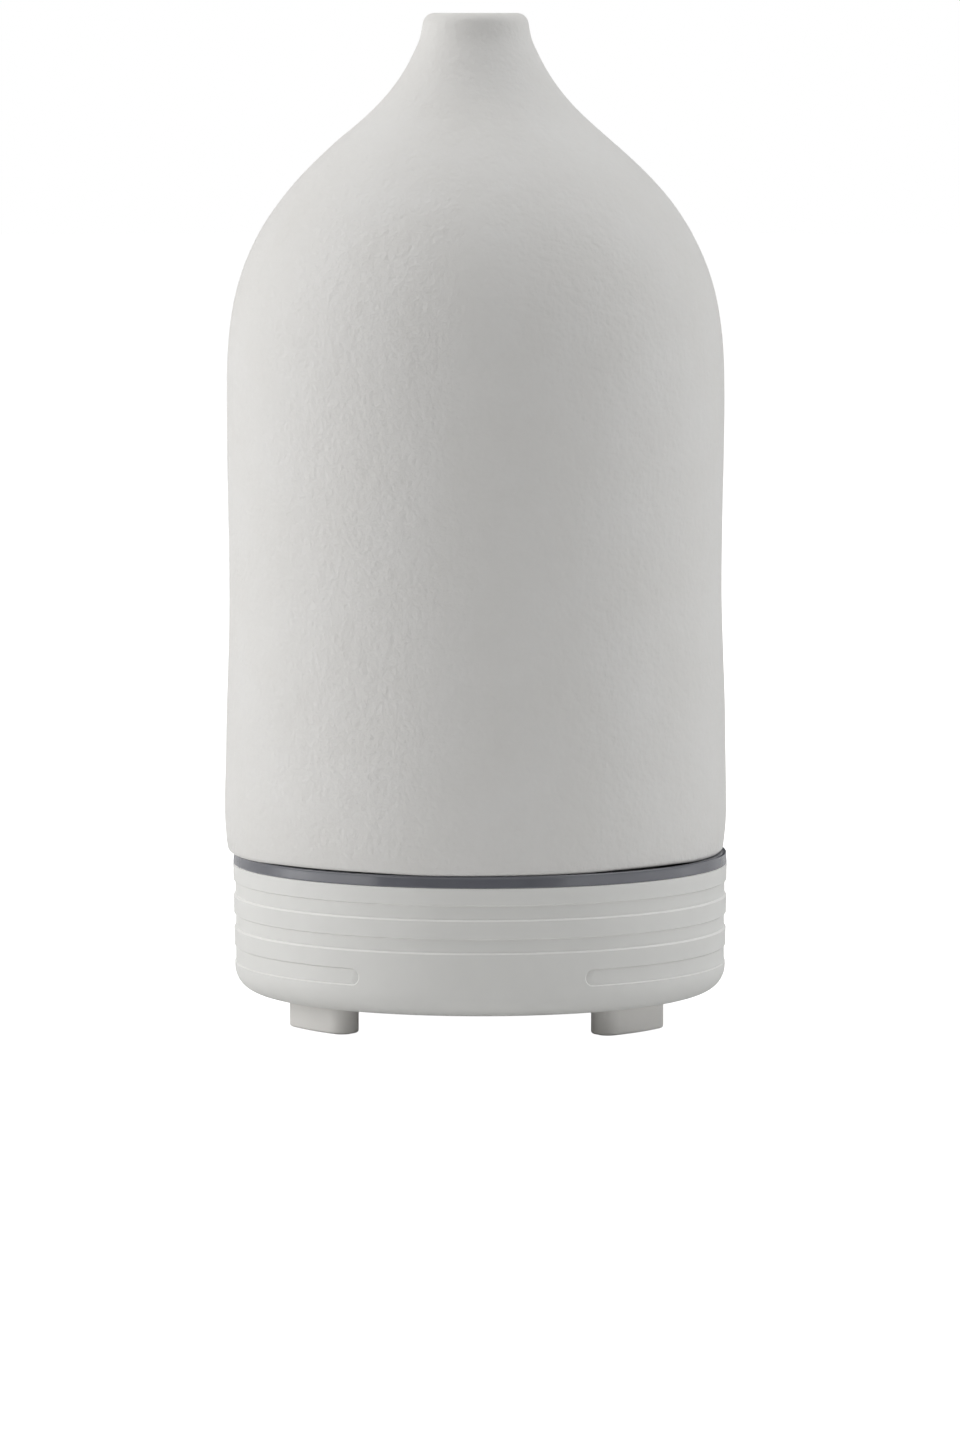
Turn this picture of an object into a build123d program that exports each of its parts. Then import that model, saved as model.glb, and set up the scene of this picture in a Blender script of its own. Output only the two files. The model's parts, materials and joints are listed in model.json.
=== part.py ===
from build123d import *
from math import cos, degrees, radians, sin
import os

# Ultrasonic essential oil diffuser: a ceramic cover over a water cup, on a round moulded base.
# Millimetres. +Z is up, the origin is on the table at the middle of the base, and the front faces -Y.

# ---- driving dimensions ---------------------------------------------------------------------------

# Heights of the main stack, from the table up.
FOOT_BOTTOM = 0.2
PLATE_BOTTOM = 4.9
PLATE_TOP = 6.9
SHELL_TOP = 28.0
RING_TOP = 30.35
CUP_RIM = 76.0
CHIMNEY_TOP = 118.0
COVER_TOP = 182.7

# Outer radii.
SHELL_TOP_RADIUS = 45.05
SHELL_LOW_RADIUS = 44.75
RING_RADIUS = 45.05
CUP_RADIUS = 38.5
CUP_INSIDE = 36.7
LID_RADIUS = 38.4
COVER_BORE = 41.9
MIST_HOLE = 5.0

# Base shell.
SHELL_INSIDE = 42.4
PLATE_RADIUS = 39.05
CORNER_TOP = 9.7           # where the rounded bottom corner meets the wall
CORNER_IN = 5.1
GROOVE_DEPTH = 0.28
GROOVE_SLOPE = 0.22
FULL_GROOVES = ((16.4, 19.2), (22.3, 25.0))
KEY_GROOVE = (10.2, 13.3)
KEY_FLOOR_RADIUS = 44.58

# Keys: long round-ended bands in the lowest groove, one each side of the front.
KEY_START = 26.7           # degrees round from the front
KEY_END = 96.0
GROOVE_END = 166.0
KEY_SIDE_GAP = 0.06
KEY_END_GAP = 0.24
KEY_CENTRE = (KEY_START + KEY_END) / 2
KEY_HEIGHT = sum(KEY_GROOVE) / 2
KEY_WINDOW = (KEY_GROOVE[0] + GROOVE_SLOPE, KEY_GROOVE[1] - GROOVE_SLOPE)
KEY_HALF = (KEY_END - KEY_START) / 2 - degrees(GROOVE_SLOPE / KEY_FLOOR_RADIUS)
STEM_END = 37.7
SWITCH_FACE = 36.7
SWITCH_BACK = 33.2
BOARD_THICKNESS = 1.6

# Feet and fasteners.
FOOT_RADIUS = 35.8         # middle of the foot's arc
FOOT_WIDTH = 6.0
PAD_THICKNESS = 1.0
FOOT_CENTRES = (-90 - 50.4, -90 + 50.4, 90 - 50.4, 90 + 50.4)
FOOT_SWEEP = 17.3
COVER_SCREW_RADIUS = 31.0
COVER_SCREW_ANGLES = (-90, 10, 170)
BOARD_SCREW_POINTS = ((24, -8), (-24, -8), (0, -20))

# Transducer well, in the middle of the cup's floor.
WELL_RADIUS = 10.8
WELL_BOTTOM = 32.5
WELL_TOP = 36.5
RETAINER_SCREWS = ((15.4, 0), (-15.4, 0))

# Fan, air duct and tower.
FAN_Y = 14.0
FAN_SIDE = 30.0
FAN_BOTTOM = 8.0
FAN_TOP = 18.0
FAN_BORE = 13.9
FAN_HOLES = 24.0
DUCT_TOP = 35.6
SPIGOT_BOTTOM = 36.6
TOWER_Y = 24.5
TOWER_TOP = 70.0
TOWER_OUTER = (10.0, 6.0)  # half axes of the oval
TOWER_INNER = (8.5, 4.5)

# Boards and power inlet.
BOARD_BOTTOM = 22.0
BOARD_TOP = BOARD_BOTTOM + BOARD_THICKNESS
BOARD_RADIUS = 34.0
LED_BOARD_BOTTOM = 23.4
LED_BOARD_TOP = 24.6
LED_COUNT = 12
LED_RADIUS = 40.5
JACK_HEIGHT = 12.4
JACK_BORE = 2.85
JACK_PIN = 1.0
JACK_FRONT = 43.8
PIN_BASE = 33.0
PIN_TIP = 42.6

LEAD = 1.2                 # diameter of an insulated lead

os.makedirs("parts", exist_ok=True)


def save(piece, label):
    """Names a finished piece and writes it as its own file."""
    piece.part.label = label
    export_step(piece.part, f"parts/{label}.step")


def on_circle(radius, angle):
    """The point at this radius and angle, counted from +X."""
    return (radius * cos(radians(angle)), radius * sin(radians(angle)))


def key_plane(side, radius, height):
    """A plane whose normal points out along a key's direction; side is 1 on the right and -1 on the left."""
    angle = radians(-90 + side * KEY_CENTRE)
    outward = Vector(cos(angle), sin(angle), 0)
    return Plane(origin=outward * radius + Vector(0, 0, height), x_dir=(0, 0, 1), z_dir=outward)


def round_ended_band(inner, outer, low, high, start, end):
    """A band of a cylinder's wall with half-round ends; start and end are the tips, in degrees from +X."""
    cap = (high - low) / 2
    cap_angle = degrees(cap / outer)
    first = start + cap_angle
    last = end - cap_angle
    with BuildPart() as tube:
        with BuildSketch(Plane.XY.offset(low)):
            Circle(outer)
            Circle(inner, mode=Mode.SUBTRACT)
        extrude(amount=high - low)
    with BuildPart() as band:
        with BuildSketch(Plane.XY.offset(low)):
            with BuildLine():
                outer_arc = CenterArc((0, 0), outer, first, last - first)
                inner_arc = CenterArc((0, 0), inner, first, last - first)
                Line(outer_arc @ 0, inner_arc @ 0)
                Line(outer_arc @ 1, inner_arc @ 1)
            make_face()
        extrude(amount=high - low)
        for angle, way in ((first, -1), (last, 1)):
            outward = Vector(*on_circle(1, angle), 0)
            tangent = Vector(-outward.Y, outward.X, 0) * way
            end_plane = Plane(origin=Vector(0, 0, low + cap), x_dir=tangent, z_dir=outward)
            with BuildPart(mode=Mode.PRIVATE) as end_cap:
                with BuildSketch(end_plane):
                    with BuildLine():
                        CenterArc((0, 0), cap, -90, 180)
                        Line((0, cap), (0, -cap))
                    make_face()
                extrude(amount=outer + 1)
                add(tube.part, mode=Mode.INTERSECT)
            add(end_cap.part)
    return band.part


def sloped_groove(start, end):
    """The cutter for the keys' groove: sloped sides and ends, and a floor at the key faces' radius."""
    low, high = KEY_GROOVE
    cap = (high - low) / 2
    reach = 1.5
    spread = GROOVE_SLOPE / GROOVE_DEPTH
    first = start + degrees(cap / SHELL_LOW_RADIUS)
    last = end - degrees(cap / SHELL_LOW_RADIUS)
    floor_cap = cap - GROOVE_SLOPE
    with BuildPart() as cutter:
        section = Plane(
            origin=(0, 0, KEY_HEIGHT),
            x_dir=Vector(*on_circle(1, first), 0),
            z_dir=Vector(*on_circle(1, first - 90), 0),
        )
        with BuildSketch(section):
            with BuildLine():
                Polyline(
                    (KEY_FLOOR_RADIUS - reach, floor_cap - reach * spread),
                    (KEY_FLOOR_RADIUS + reach, floor_cap + reach * spread),
                    (KEY_FLOOR_RADIUS + reach, -floor_cap - reach * spread),
                    (KEY_FLOOR_RADIUS - reach, -floor_cap + reach * spread),
                    close=True,
                )
            make_face()
        revolve(axis=Axis.Z, revolution_arc=last - first)
        for angle in (first, last):
            outward = Vector(*on_circle(1, angle), 0)
            cone_base = outward * (KEY_FLOOR_RADIUS - reach) + Vector(0, 0, KEY_HEIGHT)
            with Locations(Plane(origin=cone_base, z_dir=outward)):
                Cone(
                    bottom_radius=floor_cap - reach * spread,
                    top_radius=floor_cap + reach * spread,
                    height=2 * reach,
                    align=(Align.CENTER, Align.CENTER, Align.MIN),
                )
        Cylinder(KEY_FLOOR_RADIUS, 60, mode=Mode.SUBTRACT)
    return cutter.part


def screw(head_radius, head_height, shank_radius, shank_length):
    """A pan-head screw standing on its head, with a cross recess; the head's outer face is at z = 0."""
    with BuildPart() as fastener:
        Cylinder(head_radius, head_height, align=(Align.CENTER, Align.CENTER, Align.MIN))
        fillet(fastener.edges().group_by(Axis.Z)[0], head_height * 0.4)
        with Locations((0, 0, head_height)):
            Cylinder(shank_radius, shank_length, align=(Align.CENTER, Align.CENTER, Align.MIN))
        chamfer(fastener.edges().group_by(Axis.Z)[-1], shank_radius * 0.4)
        with BuildSketch():
            Rectangle(head_radius * 1.1, head_radius * 0.26)
            Rectangle(head_radius * 0.26, head_radius * 1.1)
        extrude(amount=head_height * 0.55, mode=Mode.SUBTRACT)
    return fastener.part


# ---- ceramic cover --------------------------------------------------------------------------------

# A slip-cast bottle: straight body with a faint waist, round shoulder, flared neck, rounded lip.
with BuildPart() as ceramic_cover:
    with BuildSketch(Plane.XZ):
        with BuildLine():
            Line((COVER_BORE, RING_TOP), (44.2, RING_TOP))
            ThreePointArc((44.2, RING_TOP), (44.88, RING_TOP + 0.35), (45.2, RING_TOP + 1.3))
            Spline(
                (45.2, RING_TOP + 1.3),
                (45.66, 41.0),
                (44.8, 82.0),
                (45.25, 112.0),
                (43.6, 132.1),
                (37.0, 146.7),
                (27.0, 157.6),
                (16.95, 166.7),
                (11.9, 174.0),
                (9.3, 180.3),
                tangents=((0.25, 1), (-0.33, 1)),
            )
            ThreePointArc((9.3, 180.3), (8.75, 182.05), (7.3, COVER_TOP))
            Line((7.3, COVER_TOP), (6.0, COVER_TOP))
            ThreePointArc((6.0, COVER_TOP), (5.29, COVER_TOP - 0.29), (MIST_HOLE, COVER_TOP - 1))
            Line((MIST_HOLE, COVER_TOP - 1), (MIST_HOLE, 172.0))
            Spline(
                (MIST_HOLE, 172.0),
                (8.2, 167.6),
                (22.8, 154.6),
                (33.4, 144.0),
                (COVER_BORE, 122.0),
                tangents=((0, -1), (0, -1)),
            )
            Line((COVER_BORE, 122.0), (COVER_BORE, RING_TOP))
        make_face()
    revolve(axis=Axis.Z)
save(ceramic_cover, "ceramic_cover")

# ---- inner lid ------------------------------------------------------------------------------------

# Rests on the cup's rim, located by a skirt inside it, and gathers the mist into a chimney.
with BuildPart() as inner_lid:
    with BuildSketch(Plane.XZ):
        with BuildLine():
            Polyline((36.4, CUP_RIM - 3), (36.4, CUP_RIM), (LID_RADIUS, CUP_RIM), (LID_RADIUS, CUP_RIM + 1.2))
            ThreePointArc(
                (LID_RADIUS, CUP_RIM + 1.2),
                (LID_RADIUS - 0.25, CUP_RIM + 1.8),
                (LID_RADIUS - 0.9, CUP_RIM + 2),
            )
            Spline(
                (LID_RADIUS - 0.9, CUP_RIM + 2),
                (24.0, CUP_RIM + 5.0),
                (10.6, CUP_RIM + 13.0),
                (8.0, CUP_RIM + 22.0),
                tangents=((-1, 0.08), (-0.09, 1)),
            )
            Line((8.0, CUP_RIM + 22.0), (6.9, CHIMNEY_TOP - 0.5))
            ThreePointArc((6.9, CHIMNEY_TOP - 0.5), (6.2, CHIMNEY_TOP), (5.5, CHIMNEY_TOP - 0.5))
            Line((5.5, CHIMNEY_TOP - 0.5), (6.4, CUP_RIM + 22.0))
            Spline(
                (6.4, CUP_RIM + 22.0),
                (9.2, CUP_RIM + 11.9),
                (23.4, CUP_RIM + 3.4),
                (35.2, CUP_RIM),
                tangents=((0.09, -1), (1, -0.16)),
            )
            Polyline((35.2, CUP_RIM), (35.2, CUP_RIM - 3), (36.4, CUP_RIM - 3))
        make_face()
    revolve(axis=Axis.Z)
    # A grip rib across the chimney's foot on each side, to lift the lid by.
    for side in (0, 180):
        with BuildSketch(Plane.XZ.rotated((0, 0, side))):
            with BuildLine():
                Polyline(
                    (7.3, CUP_RIM + 21.5),
                    (9.0, CUP_RIM + 14.2),
                    (11.0, CUP_RIM + 11.2),
                    (14.0, CUP_RIM + 8.8),
                    (19.0, CUP_RIM + 6.2),
                    close=True,
                )
            make_face()
        extrude(amount=0.8, both=True)
save(inner_lid, "inner_lid")

# ---- light ring -----------------------------------------------------------------------------------

# Smoky light guide: the rim that shows, and a skirt that stands over the LEDs.
with BuildPart() as light_ring:
    with BuildSketch(Plane.XZ):
        with BuildLine():
            Polyline(
                (38.7, SHELL_TOP),
                (40.2, SHELL_TOP),
                (40.2, 25.6),
                (42.2, 25.6),
                (42.2, SHELL_TOP),
                (RING_RADIUS - 0.12, SHELL_TOP),
                (RING_RADIUS, SHELL_TOP + 0.12),
                (RING_RADIUS, RING_TOP - 0.3),
            )
            ThreePointArc(
                (RING_RADIUS, RING_TOP - 0.3),
                (RING_RADIUS - 0.09, RING_TOP - 0.09),
                (RING_RADIUS - 0.3, RING_TOP),
            )
            Polyline(
                (RING_RADIUS - 0.3, RING_TOP),
                (40.3, RING_TOP),
                (40.3, RING_TOP - 0.8),
                (38.7, RING_TOP - 0.8),
                (38.7, SHELL_TOP),
            )
        make_face()
    revolve(axis=Axis.Z)
save(light_ring, "light_ring")

# Soft ring under the cup's flange.
with BuildPart() as reservoir_seal:
    with BuildSketch(Plane.XY.offset(RING_TOP - 0.8)):
        Circle(40.1)
        Circle(38.85, mode=Mode.SUBTRACT)
    extrude(amount=0.8)
save(reservoir_seal, "reservoir_seal")

# ---- reservoir ------------------------------------------------------------------------------------

# The water cup, its skirt inside the base, the air tower, and the bosses that everything hangs from.
with BuildPart() as reservoir:
    with BuildSketch(Plane.XZ):
        with BuildLine():
            Polyline(
                (8.0, WELL_TOP),
                (WELL_RADIUS, WELL_TOP),
                (WELL_RADIUS, WELL_BOTTOM),
                (13.2, WELL_BOTTOM),
                (13.2, 37.2),
                (CUP_INSIDE, 40.2),
                (CUP_INSIDE, 26.5),
                (CUP_RADIUS, 26.5),
                (CUP_RADIUS, RING_TOP),
                (40.6, RING_TOP),
                (40.6, RING_TOP + 1.5),
                (CUP_RADIUS, RING_TOP + 1.5),
                (CUP_RADIUS, CUP_RIM - 0.6),
                (CUP_RADIUS - 0.6, CUP_RIM),
                (CUP_INSIDE + 0.4, CUP_RIM),
                (CUP_INSIDE, CUP_RIM - 0.4),
                (CUP_INSIDE, 45.0),
            )
            RadiusArc((CUP_INSIDE, 45.0), (CUP_INSIDE - 3.2, 41.6), 3.3)
            Polyline((CUP_INSIDE - 3.2, 41.6), (11.0, 39.0), (8.0, 38.2), (8.0, WELL_TOP))
        make_face()
    revolve(axis=Axis.Z)
    # Fill line inside the cup.
    with BuildSketch(Plane.XZ):
        with BuildLine():
            Polyline((CUP_INSIDE, 64.6), (CUP_INSIDE - 0.4, 65.0), (CUP_INSIDE, 65.4), close=True)
        make_face()
    revolve(axis=Axis.Z)
    # Air tower, standing above the water line, with its spigot under the floor.
    with BuildSketch(Plane(origin=(0, TOWER_Y, SPIGOT_BOTTOM))):
        Ellipse(*TOWER_OUTER)
    extrude(amount=TOWER_TOP - SPIGOT_BOTTOM)
    # Screw bosses under the floor.
    with BuildSketch(Plane.XY.offset(9.4)):
        for angle in COVER_SCREW_ANGLES:
            with Locations(on_circle(COVER_SCREW_RADIUS, angle)):
                Circle(3.4)
    extrude(amount=40.2 - 9.4)
    with BuildSketch(Plane.XY.offset(BOARD_TOP)):
        with Locations(*BOARD_SCREW_POINTS):
            Circle(2.6)
    extrude(amount=39.3 - BOARD_TOP)
    with BuildSketch(Plane.XY.offset(WELL_BOTTOM)):
        with Locations(*RETAINER_SCREWS):
            Circle(2.6)
        Circle(WELL_RADIUS, mode=Mode.SUBTRACT)
    extrude(amount=38.6 - WELL_BOTTOM)
    # Hollow of the tower.
    with BuildSketch(Plane(origin=(0, TOWER_Y, SPIGOT_BOTTOM))):
        Ellipse(*TOWER_INNER)
    extrude(amount=TOWER_TOP - SPIGOT_BOTTOM, mode=Mode.SUBTRACT)
    # Pilot holes, open at the bottom.
    with BuildSketch(Plane.XY.offset(9.4)):
        for angle in COVER_SCREW_ANGLES:
            with Locations(on_circle(COVER_SCREW_RADIUS, angle)):
                Circle(1.45)
    extrude(amount=10.6, mode=Mode.SUBTRACT)
    with BuildSketch(Plane.XY.offset(BOARD_TOP)):
        with Locations(*BOARD_SCREW_POINTS):
            Circle(1.05)
    extrude(amount=6.0, mode=Mode.SUBTRACT)
    with BuildSketch(Plane.XY.offset(WELL_BOTTOM)):
        with Locations(*RETAINER_SCREWS):
            Circle(1.05)
    extrude(amount=4.0, mode=Mode.SUBTRACT)
save(reservoir, "reservoir")

# ---- base shell -----------------------------------------------------------------------------------


def wall_radius(height):
    """The base's outer wall leans out a little from bottom to top."""
    share = (height - CORNER_TOP) / (SHELL_TOP - CORNER_TOP)
    return SHELL_LOW_RADIUS + share * (SHELL_TOP_RADIUS - SHELL_LOW_RADIUS)


groove_points = []
for low, high in FULL_GROOVES:
    groove_points += [
        (wall_radius(low), low),
        (wall_radius(low) - GROOVE_DEPTH, low + GROOVE_SLOPE),
        (wall_radius(high) - GROOVE_DEPTH, high - GROOVE_SLOPE),
        (wall_radius(high), high),
    ]

with BuildPart() as base_shell:
    with BuildSketch(Plane.XZ):
        with BuildLine():
            corner = EllipticalCenterArc(
                (SHELL_LOW_RADIUS - CORNER_IN, CORNER_TOP),
                CORNER_IN,
                CORNER_TOP - PLATE_BOTTOM,
                -90,
                arc_size=90,
            )
            Polyline(
                corner @ 1,
                *groove_points,
                (wall_radius(SHELL_TOP - 0.35), SHELL_TOP - 0.35),
            )
            ThreePointArc(
                (wall_radius(SHELL_TOP - 0.35), SHELL_TOP - 0.35),
                (SHELL_TOP_RADIUS - 0.1, SHELL_TOP - 0.1),
                (SHELL_TOP_RADIUS - 0.35, SHELL_TOP),
            )
            Polyline(
                (SHELL_TOP_RADIUS - 0.35, SHELL_TOP),
                (SHELL_INSIDE, SHELL_TOP),
                (SHELL_INSIDE, LED_BOARD_BOTTOM),
                (41.0, LED_BOARD_BOTTOM),
                (41.0, LED_BOARD_BOTTOM - 0.8),
                (SHELL_INSIDE, LED_BOARD_BOTTOM - 2.2),
                (SHELL_INSIDE, 8.5),
                (37.5, 8.5),
                (37.5, PLATE_TOP),
                (PLATE_RADIUS + 0.15, PLATE_TOP),
                (PLATE_RADIUS + 0.15, PLATE_BOTTOM),
                corner @ 0,
            )
        make_face()
    revolve(axis=Axis.Z)
    # The lowest groove runs from each key round to the power inlet, with half-round ends.
    for start, end in ((-90 + KEY_START, -90 + GROOVE_END), (-90 - GROOVE_END, -90 - KEY_START)):
        add(sloped_groove(start, end), mode=Mode.SUBTRACT)
    # Windows for the keys, in the groove's floor.
    for side in (1, -1):
        centre = -90 + side * KEY_CENTRE
        add(round_ended_band(40, 45, *KEY_WINDOW, centre - KEY_HALF, centre + KEY_HALF), mode=Mode.SUBTRACT)
    # Power inlet: a hole through the back wall in a shallow flat recess.
    with BuildSketch(Plane(origin=(0, 40, JACK_HEIGHT), x_dir=(1, 0, 0), z_dir=(0, 1, 0))):
        Circle(3.85)
    extrude(amount=6, mode=Mode.SUBTRACT)
    with BuildSketch(Plane(origin=(0, JACK_FRONT, JACK_HEIGHT), x_dir=(1, 0, 0), z_dir=(0, 1, 0))):
        Circle(5.4)
    extrude(amount=3, mode=Mode.SUBTRACT)
save(base_shell, "base_shell")

# ---- bottom cover ---------------------------------------------------------------------------------

with BuildPart() as bottom_cover:
    with BuildSketch(Plane.XY.offset(PLATE_BOTTOM)):
        Circle(PLATE_RADIUS)
    extrude(amount=PLATE_TOP - PLATE_BOTTOM)
    # Four long feet, moulded on, that follow the rim.
    for centre in FOOT_CENTRES:
        foot_line = CenterArc((0, 0), FOOT_RADIUS, centre - FOOT_SWEEP / 2, FOOT_SWEEP, mode=Mode.PRIVATE)
        with BuildSketch(Plane.XY.offset(FOOT_BOTTOM)):
            SlotArc(foot_line, FOOT_WIDTH)
        extrude(amount=PLATE_BOTTOM - FOOT_BOTTOM)
    fillet(bottom_cover.edges().group_by(Axis.Z)[0], 0.5)
    for centre in FOOT_CENTRES:
        foot_line = CenterArc((0, 0), FOOT_RADIUS, centre - FOOT_SWEEP / 2, FOOT_SWEEP, mode=Mode.PRIVATE)
        with BuildSketch(Plane.XY.offset(FOOT_BOTTOM)):
            SlotArc(foot_line, FOOT_WIDTH - 2)
        extrude(amount=PAD_THICKNESS - FOOT_BOTTOM, mode=Mode.SUBTRACT)
    # Bosses: three for the screws that close the base, four that carry the fan.
    with BuildSketch(Plane.XY.offset(PLATE_TOP)):
        for angle in COVER_SCREW_ANGLES:
            with Locations(on_circle(COVER_SCREW_RADIUS, angle)):
                Circle(4.2)
    extrude(amount=9.4 - PLATE_TOP)
    with BuildSketch(Plane.XY.offset(PLATE_TOP)):
        with Locations((0, FAN_Y)):
            with GridLocations(FAN_HOLES, FAN_HOLES, 2, 2):
                Circle(2.8)
    extrude(amount=FAN_BOTTOM - PLATE_TOP)
    # Ribs that hold the two switch boards on edge.
    for side in (1, -1):
        for radius in (SWITCH_BACK - BOARD_THICKNESS - 1.3, SWITCH_BACK + 0.1):
            with BuildSketch(key_plane(side, radius, PLATE_TOP)):
                Rectangle(3.2, 12.0)
            extrude(amount=1.2)
    # Saddle under the power inlet.
    with BuildSketch(Plane.XY.offset(PLATE_TOP)):
        with Locations((0, 33.6)):
            Rectangle(9.0, 6.4)
    extrude(amount=JACK_HEIGHT - 3.75 - PLATE_TOP)
    # Counterbored screw holes.
    with BuildSketch(Plane.XY.offset(PLATE_BOTTOM)):
        for angle in COVER_SCREW_ANGLES:
            with Locations(on_circle(COVER_SCREW_RADIUS, angle)):
                Circle(2.9)
    extrude(amount=2.5, mode=Mode.SUBTRACT)
    with BuildSketch(Plane.XY.offset(PLATE_BOTTOM)):
        for angle in COVER_SCREW_ANGLES:
            with Locations(on_circle(COVER_SCREW_RADIUS, angle)):
                Circle(1.7)
        with Locations((0, FAN_Y)):
            with GridLocations(FAN_HOLES, FAN_HOLES, 2, 2):
                Circle(1.3)
    extrude(amount=9.4 - PLATE_BOTTOM, mode=Mode.SUBTRACT)
    # Air grille under the fan: rings of slots between four spokes.
    with BuildSketch(Plane(origin=(0, FAN_Y, PLATE_BOTTOM))):
        for radius in (13.3, 10.4, 7.5, 4.6):
            Circle(radius)
            Circle(radius - 1.6, mode=Mode.SUBTRACT)
        Rectangle(30, 1.8, rotation=45, mode=Mode.SUBTRACT)
        Rectangle(30, 1.8, rotation=-45, mode=Mode.SUBTRACT)
    extrude(amount=PLATE_TOP - PLATE_BOTTOM, mode=Mode.SUBTRACT)
save(bottom_cover, "bottom_cover")

with BuildPart() as foot_pads:
    for centre in FOOT_CENTRES:
        foot_line = CenterArc((0, 0), FOOT_RADIUS, centre - FOOT_SWEEP / 2, FOOT_SWEEP, mode=Mode.PRIVATE)
        with BuildSketch():
            SlotArc(foot_line, FOOT_WIDTH - 2.1)
        extrude(amount=PAD_THICKNESS)
    fillet(foot_pads.edges().group_by(Axis.Z)[0], 0.25)
save(foot_pads, "foot_pads")

with BuildPart() as cover_screws:
    for angle in COVER_SCREW_ANGLES:
        with Locations((*on_circle(COVER_SCREW_RADIUS, angle), 5.6)):
            add(screw(2.6, 1.8, 1.4, 10.0))
save(cover_screws, "cover_screws")

with BuildPart() as rating_label:
    with BuildSketch(Plane.XY.offset(PLATE_BOTTOM - 0.12)):
        with Locations((0, -13)):
            RectangleRounded(30, 15, 1.5)
    extrude(amount=0.12)
save(rating_label, "rating_label")

# ---- transducer -----------------------------------------------------------------------------------

with BuildPart() as transducer_gasket:
    with BuildSketch(Plane.XZ):
        with BuildLine():
            Polyline(
                (8.6, 33.0),
                (WELL_RADIUS - 0.05, 33.0),
                (WELL_RADIUS - 0.05, WELL_TOP),
                (8.6, WELL_TOP),
                (8.6, 35.35),
                (10.0, 35.35),
                (10.0, 34.15),
                (8.6, 34.15),
                close=True,
            )
        make_face()
    revolve(axis=Axis.Z)
save(transducer_gasket, "transducer_gasket")

with BuildPart() as transducer_disc:
    with BuildSketch(Plane.XY.offset(34.2)):
        Circle(9.95)
    extrude(amount=1.1)
    with BuildSketch(Plane.XY.offset(33.9)):
        Circle(6.5)
    extrude(amount=0.3)
save(transducer_disc, "transducer_disc")

with BuildPart() as transducer_retainer:
    with BuildSketch(Plane.XY.offset(31.4)):
        Circle(13.0)
        SlotOverall(37.0, 6.4)
    extrude(amount=WELL_BOTTOM - 31.4)
    with BuildSketch(Plane.XY.offset(WELL_BOTTOM)):
        Circle(WELL_RADIUS - 0.1)
    extrude(amount=0.5)
    with BuildSketch(Plane.XY.offset(31.4)):
        Circle(8.6)
        with Locations(*RETAINER_SCREWS):
            Circle(1.2)
    extrude(amount=2.0, mode=Mode.SUBTRACT)
save(transducer_retainer, "transducer_retainer")

with BuildPart() as retainer_screws:
    for x, y in RETAINER_SCREWS:
        with Locations((x, y, 31.4 - 1.2)):
            add(screw(2.0, 1.2, 1.0, 4.6))
save(retainer_screws, "retainer_screws")

# ---- fan and air duct -----------------------------------------------------------------------------

# Frame with four struts below that carry the motor's bearing tube.
with BuildPart() as fan_frame:
    with BuildSketch(Plane(origin=(0, FAN_Y, FAN_BOTTOM))):
        RectangleRounded(FAN_SIDE, FAN_SIDE, 3.0)
        Circle(FAN_BORE, mode=Mode.SUBTRACT)
        with GridLocations(FAN_HOLES, FAN_HOLES, 2, 2):
            Circle(1.6, mode=Mode.SUBTRACT)
    extrude(amount=FAN_TOP - FAN_BOTTOM)
    with BuildSketch(Plane(origin=(0, FAN_Y, FAN_BOTTOM))):
        Circle(6.0)
        Rectangle(2 * FAN_BORE + 0.6, 1.8, rotation=45)
        Rectangle(2 * FAN_BORE + 0.6, 1.8, rotation=-45)
    extrude(amount=1.2)
    with BuildSketch(Plane(origin=(0, FAN_Y, FAN_BOTTOM + 1.2))):
        Circle(2.6)
        Circle(1.9, mode=Mode.SUBTRACT)
    extrude(amount=5.6)
save(fan_frame, "fan_frame")

with BuildPart() as fan_bearing:
    with BuildSketch(Plane(origin=(0, FAN_Y, FAN_BOTTOM + 1.2))):
        Circle(1.88)
        Circle(1.04, mode=Mode.SUBTRACT)
    extrude(amount=5.6)
save(fan_bearing, "fan_bearing")

with BuildPart() as fan_stator:
    with BuildSketch(Plane(origin=(0, FAN_Y, FAN_BOTTOM + 2.0))):
        Circle(4.9)
        Circle(2.65, mode=Mode.SUBTRACT)
        with PolarLocations(4.4, 4, 45):
            Rectangle(2.4, 0.9, mode=Mode.SUBTRACT)
    extrude(amount=3.6)
save(fan_stator, "fan_stator")

with BuildPart() as fan_shaft:
    with BuildSketch(Plane(origin=(0, FAN_Y, FAN_BOTTOM + 1.5))):
        Circle(1.0)
    extrude(amount=7.0)
save(fan_shaft, "fan_shaft")

# One blade, pitched steeply at the hub and less at the tip.
with BuildPart() as fan_blade:
    for distance, pitch, chord in ((5.5, 45, 7.6), (12.6, 32, 8.0)):
        tilt = radians(pitch)
        blade_plane = Plane(
            origin=(distance, 0, FAN_BOTTOM + 5.2),
            x_dir=(0, cos(tilt), sin(tilt)),
            z_dir=(1, 0, 0),
        )
        with BuildSketch(blade_plane):
            SlotOverall(chord, 0.9)
    loft()

with BuildPart() as fan_impeller:
    with BuildSketch(Plane(origin=(0, FAN_Y, FAN_BOTTOM + 1.8))):
        Circle(6.3)
        Circle(5.4, mode=Mode.SUBTRACT)
    extrude(amount=6.0)
    with BuildSketch(Plane(origin=(0, FAN_Y, FAN_BOTTOM + 7.8))):
        Circle(6.3)
    extrude(amount=1.2)
    fillet(fan_impeller.edges().group_by(Axis.Z)[-1], 0.6)
    with BuildSketch(Plane(origin=(0, FAN_Y, FAN_BOTTOM + 7.8))):
        Circle(1.02)
    extrude(amount=0.8, mode=Mode.SUBTRACT)
    with Locations((0, FAN_Y)):
        with PolarLocations(0, 7):
            add(fan_blade.part)
save(fan_impeller, "fan_impeller")

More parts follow.
